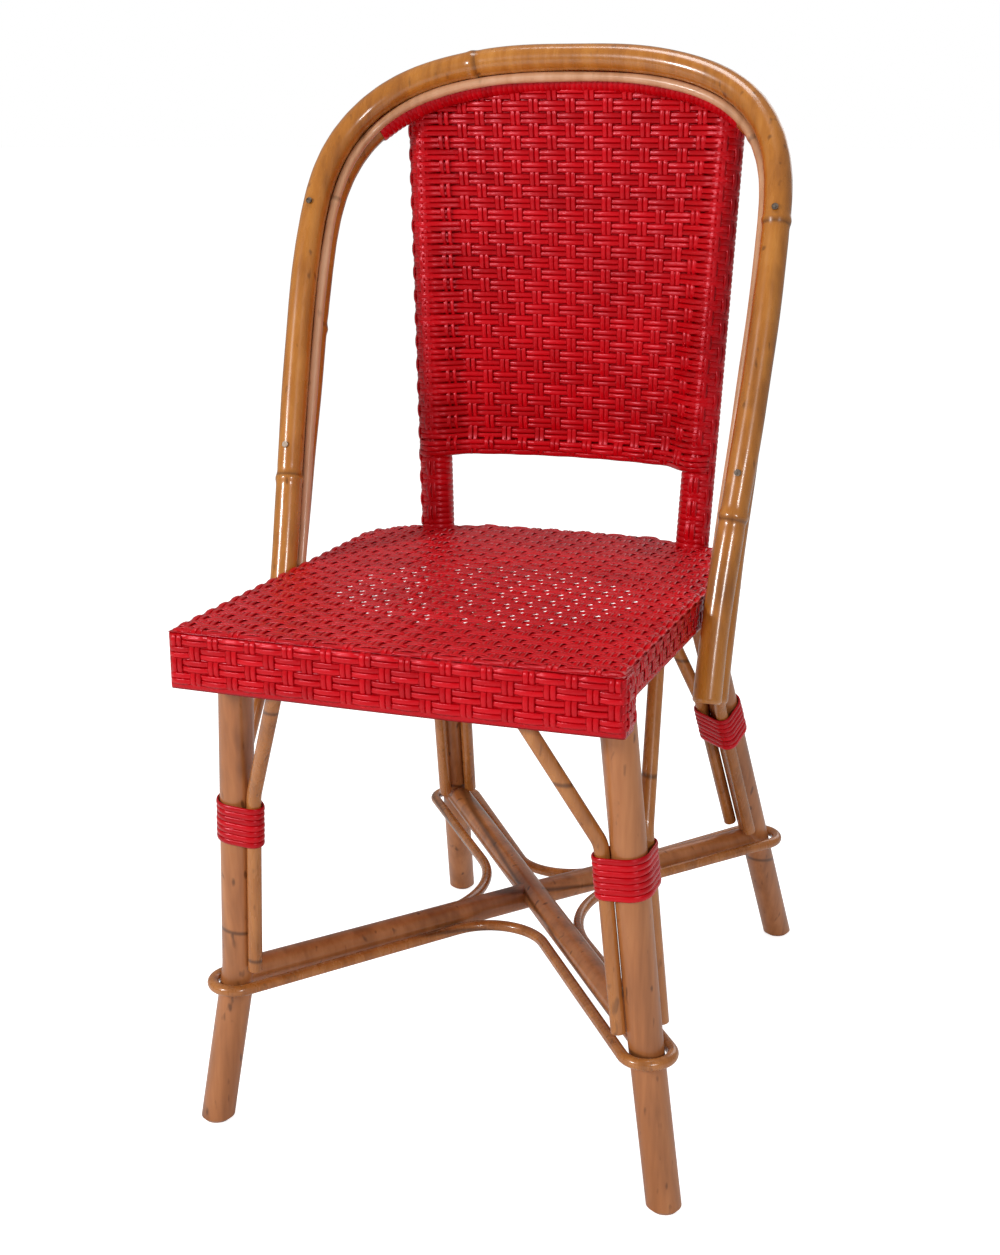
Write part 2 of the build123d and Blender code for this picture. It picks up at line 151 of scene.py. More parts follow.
class Laid:
    """Strands or canes gathered into one mesh."""

    def __init__(self):
        self.points, self.faces, self.tones, self.maps, self.joints = [], [], [], [], []
        self.count = 0

    def add(self, line, outward, half_width, half_thick, closed=False, sides=6, joint=0.0):
        """Lays one strand of oval section along a line."""
        _, side, out = settle(line, outward, closed)
        angles = np.arange(sides) * 2 * math.pi / sides
        width = np.broadcast_to(half_width, (len(line),))[:, None, None]
        thick = np.broadcast_to(half_thick, (len(line),))[:, None, None]
        ring = (
            line[:, None, :]
            + side[:, None, :] * np.cos(angles)[None, :, None] * width
            + out[:, None, :] * np.sin(angles)[None, :, None] * thick
        )
        rows = len(line)
        first = self.count
        self.points.append(ring.reshape(-1, 3))
        spans = rows if closed else rows - 1
        k = np.arange(spans)[:, None]
        j = np.arange(sides)[None, :]
        here = first + k * sides
        there = first + ((k + 1) % rows) * sides
        nxt = (j + 1) % sides
        quads = np.stack([here + j, there + j, there + nxt, here + nxt], -1).reshape(-1, 4)
        self.faces.extend(quads.tolist())
        if not closed:
            self.faces.append([first + s for s in range(sides)])
            last = first + (rows - 1) * sides
            self.faces.append([last + s for s in reversed(range(sides))])
        run = np.repeat(length_along(line), sides)
        self.maps.append(np.stack([run, np.tile(angles, rows)], 1))
        self.tones.append(np.full(rows * sides, draw.random()))
        self.joints.append(np.repeat(np.broadcast_to(joint, (rows,)), sides))
        self.count += rows * sides

    def piece(self, name, material, *nodes, slot):
        """Makes the object and puts it in place of CAD nodes."""
        mesh = bpy.data.meshes.new(name)
        points = np.concatenate(self.points)
        mesh.from_pydata(points.tolist(), [], self.faces)
        tone = mesh.attributes.new("tone", "FLOAT", "POINT")
        tone.data.foreach_set("value", np.concatenate(self.tones).astype(np.float32))
        joint = mesh.attributes.new("joint", "FLOAT", "POINT")
        joint.data.foreach_set("value", np.concatenate(self.joints).astype(np.float32))
        run = mesh.attributes.new("run", "FLOAT_VECTOR", "POINT")
        flat = np.concatenate(self.maps)
        flat = np.concatenate([flat, np.zeros((len(flat), 1))], 1)
        run.data.foreach_set("vector", flat.astype(np.float32).ravel())
        mesh.validate()
        mesh.shade_smooth()
        mesh.materials.append(material)
        made = bpy.data.objects.new(name, mesh)
        bpy.context.scene.collection.objects.link(made)
        face_out(made)
        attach(made, "root")
        if nodes:
            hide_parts(*nodes)


def face_out(made):
    """Turns every face outwards."""
    bpy.ops.object.select_all(action="DESELECT")
    bpy.context.view_layer.objects.active = made
    made.select_set(True)
    bpy.ops.object.mode_set(mode="EDIT")
    bpy.ops.mesh.select_all(action="SELECT")
    bpy.ops.mesh.normals_make_consistent(inside=False)
    bpy.ops.object.mode_set(mode="OBJECT")
    made.select_set(False)


# ------------------------------------------------------------ materials


class Value:
    """A number that varies over a surface. Sums written on it become Math nodes."""

    def __init__(self, paint, socket):
        self.paint, self.socket = paint, socket

    def maths(self, operation, a, b):
        return self.paint.number("ShaderNodeMath", {"operation": operation}, {0: a, 1: b})

    def __add__(self, other):
        return self.maths("ADD", self, other)

    __radd__ = __add__

    def __sub__(self, other):
        return self.maths("SUBTRACT", self, other)

    def __rsub__(self, other):
        return self.maths("SUBTRACT", other, self)

    def __mul__(self, other):
        return self.maths("MULTIPLY", self, other)

    __rmul__ = __mul__

    def __truediv__(self, other):
        return self.maths("DIVIDE", self, other)


class Paint:
    """One finish: a material and the nodes that vary it."""

    def __init__(self, name):
        self.material = bpy.data.materials.new(name + "_finish")
        self.material.use_nodes = True
        self.tree = self.material.node_tree
        self.shader = self.tree.nodes["Principled BSDF"]
        self.coords = self.node("ShaderNodeTexCoord")

    def node(self, kind, settings=None, inputs=None):
        """Any node: its type, then its settings, then its sockets' values or links."""
        made = self.tree.nodes.new(kind)
        for key, value in (settings or {}).items():
            if key == "stops":
                ramp = made.color_ramp
                while len(ramp.elements) < len(value):
                    ramp.elements.new(0.5)
                for element, (place, colour) in zip(ramp.elements, value):
                    element.position = place
                    element.color = (*colour, 1)
            else:
                setattr(made, key, value)
        for key, value in (inputs or {}).items():
            self.feed(made.inputs[key], value)
        return made

    def feed(self, socket, value):
        """Sets a socket, or links it."""
        if isinstance(value, Value):
            value = value.socket
        if isinstance(value, bpy.types.NodeSocket):
            self.tree.links.new(value, socket)
        else:
            socket.default_value = value

    def number(self, kind, settings=None, inputs=None, output=0):
        """A node whose output is used as a number."""
        return Value(self, self.node(kind, settings, inputs).outputs[output])

    def noise(self, scale, detail, rough):
        """Cloudy variation from 0 to 1, at a scale along each axis."""
        mapping = self.node(
            "ShaderNodeMapping", None,
            {"Vector": self.coords.outputs["Object"], "Scale": scale},
        )
        return self.number(
            "ShaderNodeTexNoise", None,
            {"Vector": mapping.outputs[0], "Scale": 1.0, "Detail": detail, "Roughness": rough},
        )

    def attribute(self, name):
        """A number laid on the mesh with each strand."""
        return self.number("ShaderNodeAttribute", {"attribute_name": name}, None, 2)

    def rescale(self, value, low, high, new_low, new_high):
        """A number taken from one range to another, and held inside it."""
        return self.number(
            "ShaderNodeMapRange", None, {0: value, 1: low, 2: high, 3: new_low, 4: new_high}
        )

    def ramp(self, value, stops):
        """A colour looked up from a number."""
        return self.node("ShaderNodeValToRGB", {"stops": stops}, {"Fac": value}).outputs[0]

    def blend(self, share, first, second):
        """Two colours mixed."""
        made = self.node("ShaderNodeMix", {"data_type": "RGBA"})
        self.feed(made.inputs[0], share)
        self.feed(made.inputs[6], first)
        self.feed(made.inputs[7], second)
        return made.outputs[2]

    def bump(self, height, strength, distance):
        """A bump that feeds the normal."""
        made = self.node(
            "ShaderNodeBump", None,
            {"Height": height, "Strength": strength, "Distance": distance},
        )
        self.feed(self.shader.inputs["Normal"], made.outputs[0])

    def set(self, **values):
        """The shader's own sockets."""
        for key, value in values.items():
            self.feed(self.shader.inputs[key.replace("_", " ")], value)


def darker(colour, share):
    """A colour with its alpha, brought down to a share of its light."""
    return (*[c * share for c in colour], 1)


def cane_finish(name, dark, middle, light, rough, coat, stretch, speck, spacing=0.0):
    """Varnished cane: long streaks, cloudy tone, dark specks and joints, and a clear coat."""
    paint = Paint(name)
    streaks = paint.noise(stretch, 4.0, 0.6)
    clouds = paint.noise((9, 9, 5), 3.0, 0.5)
    fine = paint.noise(tuple(s * 2.6 for s in stretch), 2.0, 0.6)
    tone = streaks * 0.5 + clouds * 0.4 + fine * 0.2 - 0.05
    colour = paint.ramp(tone, [(0.28, dark), (0.5, middle), (0.72, light)])
    specks = paint.rescale(paint.noise((150, 150, 60), 1.0, 0.4), 0.69, 0.78, 0.0, speck)
    colour = paint.blend(specks, colour, darker(dark, 0.35))
    blotches = paint.rescale(paint.noise((26, 26, 9), 3.0, 0.6), 0.58, 0.75, 0.0, 0.55)
    colour = paint.blend(blotches, colour, darker(dark, 0.55))
    joint = paint.attribute("joint")
    if spacing:
        spot = paint.node("ShaderNodeSeparateXYZ", None, {0: paint.coords.outputs["Object"]})
        x, y, z = (Value(paint, spot.outputs[k]) for k in range(3))
        along = (z + x * 0.14 + y * 0.06 + clouds * 0.004) / spacing
        share = paint.number("ShaderNodeMath", {"operation": "FRACT"}, {0: along})
        near = paint.number("ShaderNodeMath", {"operation": "ABSOLUTE"}, {0: share - 0.5})
        joint = paint.rescale(near * spacing, 0.6 * mm, 2.6 * mm, 1.0, 0.0)
    colour = paint.blend(joint * 0.7, colour, darker(dark, 0.3))
    paint.set(Base_Color=colour, Roughness=fine * 0.18 + (rough - 0.09))
    paint.set(Coat_Weight=coat, Coat_Roughness=0.12, Specular_IOR_Level=0.5)
    paint.bump(streaks * 0.7 + fine * 0.5, 0.25, 0.6 * mm)
    return paint


def strand_finish(name, dark, middle, light):
    """Red plastic strand: tone differs from strand to strand, with fine lengthwise lines."""
    paint = Paint(name)
    tone = paint.attribute("tone")
    run = paint.node("ShaderNodeAttribute", {"attribute_name": "run"})
    clouds = paint.noise((18, 18, 18), 2.0, 0.5)
    colour = paint.ramp(
        tone * 0.35 + clouds * 0.65, [(0.2, dark), (0.5, middle), (0.8, light)]
    )
    around = paint.node("ShaderNodeSeparateXYZ", None, {0: run.outputs["Vector"]})
    lines = paint.number(
        "ShaderNodeMath", {"operation": "SINE"}, {0: Value(paint, around.outputs[1]) * 18.0}
    )
    paint.set(Base_Color=colour, Roughness=clouds * 0.12 + 0.2)
    paint.set(Specular_IOR_Level=0.62, Specular_Tint=(1.0, 0.36, 0.44, 1.0))
    paint.bump(lines * 0.5 + clouds, 0.2, 0.25 * mm)
    return paint


hoop_paint = cane_finish(
    "hoop_cane", (0.26, 0.078, 0.009), (0.46, 0.160, 0.019), (0.62, 0.250, 0.042),
    0.27, 0.55, (70, 30, 12), 0.6,
)
pale_paint = cane_finish(
    "pale_cane", (0.44, 0.19, 0.08), (0.66, 0.34, 0.18), (0.78, 0.45, 0.27),
    0.34, 0.3, (70, 30, 12), 0.3,
)
leg_paint = cane_finish(
    "leg_cane", (0.21, 0.063, 0.013), (0.43, 0.152, 0.045), (0.60, 0.245, 0.085),
    0.34, 0.3, (60, 60, 5), 0.7, 0.285,
)
brace_paint = cane_finish(
    "brace_cane", (0.22, 0.065, 0.011), (0.43, 0.150, 0.032), (0.60, 0.245, 0.068),
    0.27, 0.4, (60, 60, 8), 0.5, 0.24,
)
strand_paint = strand_finish(
    "red_strand", (0.42, 0.0004, 0.003), (0.56, 0.0008, 0.0045), (0.68, 0.0015, 0.007)
)
# A darker copy of the red strand for the layers under the weave: painted shade, so the gaps
# between strands read darker.
shaded_strand_paint = strand_finish(
    "red_strand_deep", (0.40, 0.0004, 0.003), (0.50, 0.0008, 0.004), (0.58, 0.0012, 0.006)
)
nail_paint = Paint("nail_steel")
nail_wear = nail_paint.noise((400, 400, 400), 2.0, 0.5)
nail_paint.set(
    Base_Color=nail_paint.ramp(nail_wear, [(0.3, (0.05, 0.03, 0.02)), (0.7, (0.25, 0.2, 0.16))]),
    Metallic=0.9, Roughness=nail_wear * 0.3 + 0.3,
)

slot_paints = {
    "hoop_cane": hoop_paint, "pale_cane": pale_paint, "leg_cane": leg_paint,
    "brace_cane": brace_paint, "red_strand": strand_paint, "nail_steel": nail_paint,
}
node_slots = {s["node"]: s["material_slot"] for s in frame["record"]["subparts"]}
for node, made in frame["nodes"].items():
    for material_slot in made.material_slots:
        material_slot.material = slot_paints[node_slots[node]].material


# ------------------------------------------------------------ centre lines of CAD tubes


def node_edges(node):
    """Both ends of every edge of a CAD node's mesh."""
    mesh = frame["nodes"][node].data
    points = np.empty(len(mesh.vertices) * 3, np.float32)
    mesh.vertices.foreach_get("co", points)
    pairs = np.empty(len(mesh.edges) * 2, np.int32)
    mesh.edges.foreach_get("vertices", pairs)
    points = points.reshape(-1, 3)
    pairs = pairs.reshape(-1, 2)
    return points[pairs[:, 0]].astype(float), points[pairs[:, 1]].astype(float)


def cut_middle(edges, origin, normal, towards):
    """Middle of a tube's cut by a plane, on the side of the origin that faces a direction."""
    start, end = edges
    a = (start - origin) @ normal
    b = (end - origin) @ normal
    crossing = (a * b) < 0
    share = (a / (a - b + 1e-20))[crossing][:, None]
    hits = start[crossing] + (end[crossing] - start[crossing]) * share
    hits = hits[((hits - origin) @ towards) > 0]
    return (hits.min(axis=0) + hits.max(axis=0)) / 2


springing = 0.745  # height at which a hoop's sides turn into its arch
arch_low = 0.76
cut_inset = 15 * mm


def level_cuts(edges, heights, towards):
    """Middles of a tube's level cuts, on the side that faces a direction."""
    return [cut_middle(edges, np.array([0, 0, z]), upward, towards) for z in heights]


def hoop_centre_line(node):
    """Centre line of a hoop, from its left cut end over the top to the right one."""
    side_cuts, arch_cuts = 14, 40
    edges = node_edges(node)
    low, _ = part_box(node)
    heights = np.linspace(low.z + 16 * mm, springing, side_cuts, endpoint=False)
    middle = np.array([0.0, 0.0, springing])
    left_side = level_cuts(edges, heights, -rightward)
    right_side = level_cuts(edges, heights, rightward)
    arch = []
    for step in range(arch_cuts + 1):
        angle = math.pi * (1 - step / arch_cuts)
        towards = np.array([math.cos(angle), 0, math.sin(angle)])
        normal = np.array([-math.sin(angle), 0, math.cos(angle)])
        arch.append(cut_middle(edges, middle, normal, towards))
    line = np.array(left_side + arch + right_side[::-1])
    start = line[0] - unit(line[1] - line[0]) * cut_inset
    end = line[-1] + unit(line[-1] - line[-2]) * cut_inset
    return np.vstack([start, line, end])


def lie_smooth(line, passes=2):
    """Takes small wobbles out of a line, ends kept."""
    for _ in range(passes):
        line = line.copy()
        line[1:-1] = (line[:-2] + 2 * line[1:-1] + line[2:]) / 4
    return line


# ------------------------------------------------------------ seat


def front_at(x):
    """How far forward the front face is."""
    return front_face + front_bow * (x / front_half) ** 2


big_centre_y = rear_arc_top - rear_arc_radius
corner_x = seat_half - corner_radius
corner_y = big_centre_y + math.sqrt((rear_arc_radius - corner_radius) ** 2 - corner_x**2)
arc_meets_x = corner_x * rear_arc_radius / (rear_arc_radius - corner_radius)


def rear_at(x):
    """How far back the seat goes at x."""
    x = min(abs(x), seat_half - 1e-5)
    if x < arc_meets_x:
        return big_centre_y + math.sqrt(rear_arc_radius**2 - x * x)
    return corner_y + math.sqrt(corner_radius**2 - (x - corner_x) ** 2)


def half_at(y):
    """Half the seat's width at y."""
    if y < front_rear:
        return front_half
    if y < corner_y:
        return seat_half
    corner_reach = corner_radius**2 - (y - corner_y) ** 2
    if corner_reach > 0 and corner_x + math.sqrt(corner_reach) > arc_meets_x:
        return corner_x + math.sqrt(corner_reach)
    return math.sqrt(max(rear_arc_radius**2 - (y - big_centre_y) ** 2, 1e-8))


def weave(phase):
    """Over and under: +1 at even numbers, -1 at odd ones, with quick changes."""
    return np.tanh(1.9 * np.cos(math.pi * phase)) / math.tanh(1.9)


skin = strand_half_thick + wave_depth
top_level = seat_high.z - skin
front_under = front_low.z + strand_half_thick
edge_under = edge_low.z + strand_half_thick
edge_round = 8 * mm
rim_first = seat_high.z - 8.5 * mm
rim_pitch = 9.6 * mm
side_pair_count = 12
rear_pair_count = 43
open_middle = (4 * mm, -118 * mm)
open_size = (128 * mm, 98 * mm)
front_tuck = 24 * mm
edge_tuck = 20 * mm
diagonal = 0.7071  # rise of an outward direction half way round a corner
lining_pitch = 6 * mm
lining_half_width = lining_pitch * 0.66
lining_half_thick = 0.3 * mm


def lay(laid, flat, outward_flat, lift, to_space, half_width=strand_half_width):
    """Lays a strand given in its own plane, lifted by its over and under."""
    line = flat + outward_flat * lift[:, None]
    space = to_space(line)
    out = to_space(line + outward_flat) - space
    laid.add(space, out, half_width, strand_half_thick)


def bow_front(flat):
    """Gives the front stretch of a plan line the bow of the seat's front face."""
    bow = front_bow * (flat[:, 0] / front_half) ** 2
    flat[:, 1] += np.where(flat[:, 1] < front_face + 9 * mm, bow, 0)


def outward_of(flat):
    """Outward directions of a plane line that runs clockwise round what it covers."""
    tangent = unit(np.gradient(flat, axis=0))
    return np.stack([-tangent[:, 1], tangent[:, 0]], 1)


def seat_warp(laid):
    """Strands that run from the rear edge over the top and down the front."""
    pairs = int(seat_half / seat_pair_pitch_x)
    for pair in range(-pairs, pairs + 1):
        for offset in (-pair_spread, pair_spread):
            x = pair * seat_pair_pitch_x + offset
            front = front_at(x) + skin
            rear = rear_at(x) - skin
            corners = [
                (front + front_tuck, front_under), (front, front_under), (front, top_level),
                (rear, top_level), (rear, edge_under), (rear - edge_tuck, edge_under),
            ]
            flat = rounded(corners, [6 * mm, edge_round, edge_round, edge_round])
            flat, run = evenly(flat, strand_step)
            outward = outward_of(flat)
            at_corner = run[np.argmax(outward[:, 1] > diagonal)]
            phase = (run - at_corner) / seat_pair_pitch_y - 0.5
            turn_back = run[len(outward) - 1 - np.argmax(outward[::-1, 1] > 0.9)]
            down = rear_pair_count + (rim_first - flat[:, 1]) / rim_pitch
            falling = np.clip((run - turn_back) / edge_round, 0, 1)
            falling = np.where(flat[:, 0] > front_rear, falling, 0)
            phase = phase * (1 - falling) + down * falling
            lift = wave_depth * weave(phase + pair)
            lay(laid, flat, outward, lift, lambda p, x=x: np.stack(
                [np.full(len(p), x), p[:, 0], p[:, 1]], 1))


def seat_rows():
    """Where each crosswise strand lies: its pair number, y, z and outward tilt."""
    front = front_face + skin
    corners = [(front, front_under), (front, top_level), (rear_at(0) - skin, top_level)]
    flat, run = evenly(rounded(corners, [edge_round]), 0.5 * mm)
    outward = outward_of(flat)
    at_corner = run[np.argmax(outward[:, 1] > diagonal)]
    end_gap = 3 * mm
    rows = []
    first = -int(at_corner / seat_pair_pitch_y)
    last = int((run[-1] - at_corner) / seat_pair_pitch_y)
    for pair in range(first, last):
        for offset in (-pair_spread, pair_spread):
            want = at_corner + (pair + 0.5) * seat_pair_pitch_y + offset
            if want < end_gap or want > run[-1] - end_gap:
                continue
            spot = np.searchsorted(run, want)
            rows.append((pair, flat[spot, 0], flat[spot, 1], math.asin(outward[spot, 1])))
    return rows


def seat_weft(laid):
    """Strands that run from side to side, down the sides, or across the front."""
    lies_flat = 1.3
    for pair, y, z, tilt in seat_rows():
        if tilt > lies_flat:
            half = half_at(y) - skin
            under = front_under if y < front_rear else edge_under
            corners = [
                (-half + edge_tuck, under), (-half, under), (-half, top_level),
                (half, top_level), (half, under), (half - edge_tuck, under),
            ]
            flat, _ = evenly(rounded(corners, [edge_round] * 4), strand_step)
            outward = outward_of(flat)
            phase = flat[:, 0] / seat_pair_pitch_x
            drop = side_pair_count + (rim_first - flat[:, 1]) / rim_pitch
            edge = half - edge_round
            falling = np.clip((np.abs(flat[:, 0]) - edge) / (7 * mm), 0, 1)
            falling = np.maximum(falling, (flat[:, 1] < top_level - edge_round) * 1.0)
            phase = phase * (1 - falling) + drop * falling
            lift = -wave_depth * weave(phase + pair)
            lay(laid, flat, outward, lift, lambda p, y=y: np.stack(
                [p[:, 0], np.full(len(p), y), p[:, 1]], 1))
        else:
            rise = max(z - (top_level - edge_round), 0)
            half = front_half - skin - edge_round + math.sqrt(edge_round**2 - rise**2)
            end = front_rear - 2 * mm
            corners = [(-half, end), (-half, y), (half, y), (half, end)]
            flat, _ = evenly(rounded(corners, [7 * mm] * 2), strand_step)
            bow_front(flat)
            outward = -outward_of(flat)
            lift = -wave_depth * weave(flat[:, 0] / seat_pair_pitch_x + pair)
            space = at_height(flat + outward * lift[:, None], z)
            out = at_height(outward * math.cos(tilt), math.sin(tilt))
            laid.add(space, out, strand_half_width, strand_half_thick)


def seat_outline(inset):
    """The sides and the rear of the seat as a line, from the right side round to the left."""
    corner_steps, rear_steps = 12, 24
    outline = [(seat_half - inset, front_rear)]
    end_angle = math.atan2(corner_y - big_centre_y, corner_x)
    reach = corner_radius - inset
    for step in range(corner_steps + 1):
        angle = step / corner_steps * end_angle
        outline.append((corner_x + reach * math.cos(angle), corner_y + reach * math.sin(angle)))
    reach = rear_arc_radius - inset
    for step in range(1, rear_steps):
        angle = end_angle + (math.pi - 2 * end_angle) * step / rear_steps
        outline.append((reach * math.cos(angle), big_centre_y + reach * math.sin(angle)))
    right = [p for p in outline if p[0] >= 0]
    whole = np.array(right + [(-x, y) for x, y in reversed(right) if x > 1e-4])
    return evenly(whole, strand_step)[0]


def seat_rim(laid):
    """Strands that run round the sides and the rear, on the outer face of the rail."""
    flat = seat_outline(skin)
    outward = -outward_of(flat)
    for row in range(3):
        for offset in (-pair_spread, pair_spread):
            z = rim_first - row * rim_pitch - offset
            if z < edge_under + 1 * mm:
                continue
            along = (flat[:, 1] - front_face - skin) / seat_pair_pitch_y - 0.5
            side = weave(along + side_pair_count + row)
            rear = -weave(flat[:, 0] / seat_pair_pitch_x + rear_pair_count + row)
            share = np.clip((flat[:, 1] - corner_y) / (40 * mm), 0, 1)
            lift = wave_depth * (side * (1 - share) + rear * share)
            space = at_height(flat + outward * lift[:, None], z)
            laid.add(space, at_height(outward, 0.0), strand_half_width, strand_half_thick)


def seat_lining(laid):
    """The dense layer under the weave, left open in the middle of the top."""
    depth = wave_depth + strand_half_thick + 0.35 * mm
    level = top_level - depth
    stations = 24
    y = front_face + skin + depth + 4 * mm
    while y < rear_at(0) - 8 * mm:
        half = half_at(y) - skin - depth
        gap = 0.0
        reach = 1 - ((y - open_middle[1]) / open_size[1]) ** 2
        if reach > 0:
            gap = open_size[0] * math.sqrt(reach)
        spans = [(-half, half)] if gap < 8 * mm else [
            (-half, open_middle[0] - gap), (open_middle[0] + gap, half)]
        for first, last in spans:
            x = np.linspace(first, last, stations)
            line = np.stack([x, np.full(stations, y), np.full(stations, level)], 1)
            laid.add(line, np.tile(upward, (stations, 1)), lining_half_width, lining_half_thick)
        y += lining_pitch
    inset = skin + 0.75 * mm
    side = front_half - inset
    face = front_face + inset
    end = front_rear - 3 * mm
    corners = [(-side, end), (-side, face), (side, face), (side, end)]
    front_line, _ = evenly(rounded(corners, [2.5 * mm] * 2), 1.5 * mm)
    bow_front(front_line)
    outline = seat_outline(inset)
    z = front_low.z + 4 * mm
    while z < level - 2 * mm:
        flats = [front_line, outline] if z > edge_low.z + 4 * mm else [front_line]
        for flat in flats:
            out = at_height(-outward_of(flat), 0.0)
            laid.add(at_height(flat, z), out, lining_half_width, lining_half_thick)
        z += lining_pitch


warp = Laid()
seat_warp(warp)
warp.piece("seat_lengthwise_strands", strand_paint.material, "seat_weave_top", slot="red_strand")
weft = Laid()
seat_weft(weft)
weft.piece("seat_crosswise_strands", strand_paint.material, "seat_front_band", slot="red_strand")
rim = Laid()
seat_rim(rim)
rim.piece("seat_rim_strands", strand_paint.material, "seat_edge_band", slot="red_strand")
lining = Laid()
seat_lining(lining)
# The lining is drawn in the darker red that paints shade into the gaps of the weave.
lining.piece("seat_lining_strands", shaded_strand_paint.material, slot="red_strand")


# ------------------------------------------------------------ back


def stile_line():
    """Two points on the right stile's centre line, from its binding."""
    return level_cuts(node_edges("stile_binding_right"), (0.56, 0.76), rightward)


stile_low, stile_high = stile_line()


def stile_at(z):
    """Point on the right stile's centre line at a height."""
    share = (z - stile_low[2]) / (stile_high[2] - stile_low[2])
    return stile_low + (stile_high - stile_low) * share


mid_width = stile_at(0.68)[0]
high_width = stile_at(0.84)[0]
hoop_lines = {
    node: lie_smooth(hoop_centre_line(node))
    for node in ("outer_hoop", "inner_hoop", "hoop_liner_cane")
}
inner_line = hoop_lines["inner_hoop"]
roll_z = (rail_low.z + rail_high.z) / 2
roll_bow = rail_high.y - 5 * mm - stile_at(roll_z)[1]
back_top_z = 0.862
back_top_y = 124 * mm + y_shift
back_top_bow = -6 * mm


def back_middle(x, z):
    """y of the middle of the woven back."""
    share = (z - roll_z) / (back_top_z - roll_z)
    end_y = stile_at(roll_z)[1] * (1 - share) + back_top_y * share
    bow = roll_bow * (1 - share) + back_top_bow * share
    return end_y + bow * (1 - (x / stile_at(z)[0]) ** 2)


def arch_height(x):
    """Height of the inner hoop's centre line above a given x."""
    upper = inner_line[inner_line[:, 2] > arch_low]
    order = np.argsort(upper[:, 0])
    return float(np.interp(x, upper[order, 0], upper[order, 2]))


def arch_reach(z):
    """Half the clear width under the arch at a height."""
    upper = inner_line[(inner_line[:, 2] > arch_low) & (inner_line[:, 0] > 0)]
    order = np.argsort(upper[:, 2])
    return float(np.interp(z, upper[order, 2], upper[order, 0]))


layer = 1.75 * mm  # from the middle of the back to each woven face
stile_wrap = 14.9 * mm
stile_ease = 34 * mm
stile_wound_top = 0.829
roll_reach = 5.9 * mm
roll_bottom = back_low.z + skin
back_columns = 7


def over_stile(x, z):
    """How far the front strands come forward to pass over the stile."""
    centre_x, centre_y, _ = stile_at(z)
    beyond = max(abs(x) - centre_x, 0)
    reach = stile_wrap - 1.5 * mm * (beyond / (12 * mm)) ** 2
    face = centre_y - math.sqrt(reach**2 - beyond**2)
    share = min(max((abs(x) - centre_x + stile_ease) / stile_ease, 0), 1)
    return (back_middle(x, z) - layer - face) * share * share * (3 - 2 * share)


def back_uprights(laid):
    """Pairs that go down the front, round the lower rail and up the rear."""
    for pair in range(-back_columns, back_columns + 1):
        for offset in (-pair_spread, pair_spread):
            across = pair * back_pair_pitch_x + offset
            top = arch_height(across * high_width / mid_width) - 4 * mm
            corners = [
                (-layer, top), (-layer, roll_z + 13 * mm), (-roll_reach, roll_z + 5 * mm),
                (-roll_reach, roll_bottom), (roll_reach, roll_bottom),
                (roll_reach, roll_z + 5 * mm), (layer, roll_z + 13 * mm), (layer, top),
            ]
            radii = [6 * mm, 4 * mm, 5 * mm, 5 * mm, 4 * mm, 6 * mm]
            flat, run = evenly(rounded(corners, radii), strand_step)
            outward = -outward_of(flat)
            phase = np.abs(run - run[-1] / 2) / back_pair_pitch_z - 0.5
            lift = wave_depth * weave(phase + pair)
            line = flat + outward * lift[:, None]
            x = np.array([across * stile_at(z)[0] / mid_width for z in line[:, 1]])
            y = np.array([back_middle(a, z) for a, z in zip(x, line[:, 1])])
            forward = np.array([over_stile(a, z) for a, z in zip(x, line[:, 1])])
            forward *= np.clip(0.5 - line[:, 0] / (2 * layer), 0, 1)
            space = np.stack([x, y + line[:, 0] - forward, line[:, 1]], 1)
            out = np.stack([np.zeros(len(line)), outward[:, 0], outward[:, 1]], 1)
            laid.add(space, out, strand_half_width, strand_half_thick)


def back_crossings(laid):
    """Pairs that run across the back, on its front and on its rear."""
    half_turn = math.pi * roll_reach / 2 * 0.9
    for face, past_stile in ((-1, 11.5 * mm), (1, -6 * mm)):
        row = 0
        at_top = False
        while not at_top:
            for offset in (-pair_spread, pair_spread):
                run = (row + 0.5) * back_pair_pitch_z + offset
                round_roll = run / half_turn * math.pi / 2
                z = roll_bottom + max(run - half_turn, 0) + 1.5 * mm
                fullness = np.clip(1 - (z - roll_z - 4 * mm) / (9 * mm), 0, 1)
                depth = layer + (roll_reach - layer) * fullness
                if run < half_turn:
                    depth = roll_reach * math.sin(round_roll)
                    z = roll_bottom + roll_reach * (1 - math.cos(round_roll)) * 0.4
                reach = min(stile_at(z)[0] + past_stile, arch_reach(z))
                at_top = z > arch_height(0) - 9 * mm or reach < 20 * mm
                if at_top:
                    continue
                x = np.linspace(-reach, reach, int(2 * reach / strand_step))
                y = np.array([back_middle(a, z) for a in x])
                columns = x * mid_width / stile_at(z)[0] / back_pair_pitch_x
                lift = -wave_depth * weave(columns + row)
                if face < 0:
                    y -= np.array([over_stile(a, z) for a in x])
                space = np.stack([x, y + face * (depth + lift), np.full(len(x), z)], 1)
                lean = math.cos(min(run / half_turn, 1) * math.pi / 2) * 0.8
                out = np.tile(np.array([0.0, face * (1 - lean), -lean]), (len(x), 1))
                laid.add(space, out, strand_half_width, strand_half_thick)
            row += 1


def back_core(laid):
    """The dense middle layer that closes the back between the two woven faces."""
    width = 5.4 * mm
    count = int(2 * mid_width / width)
    for step in range(count + 1):
        across = (step - count / 2) * width
        top = arch_height(across * high_width / mid_width)
        z = np.arange(roll_z - 4 * mm, top, 12 * mm)
        x = across * np.array([stile_at(h)[0] for h in z]) / mid_width
        y = np.array([back_middle(a, h) for a, h in zip(x, z)])
        out = np.tile(np.array([0.0, -1.0, 0.0]), (len(z), 1))
        laid.add(np.stack([x, y, z], 1), out, width * 0.72, 0.45 * mm, sides=8)


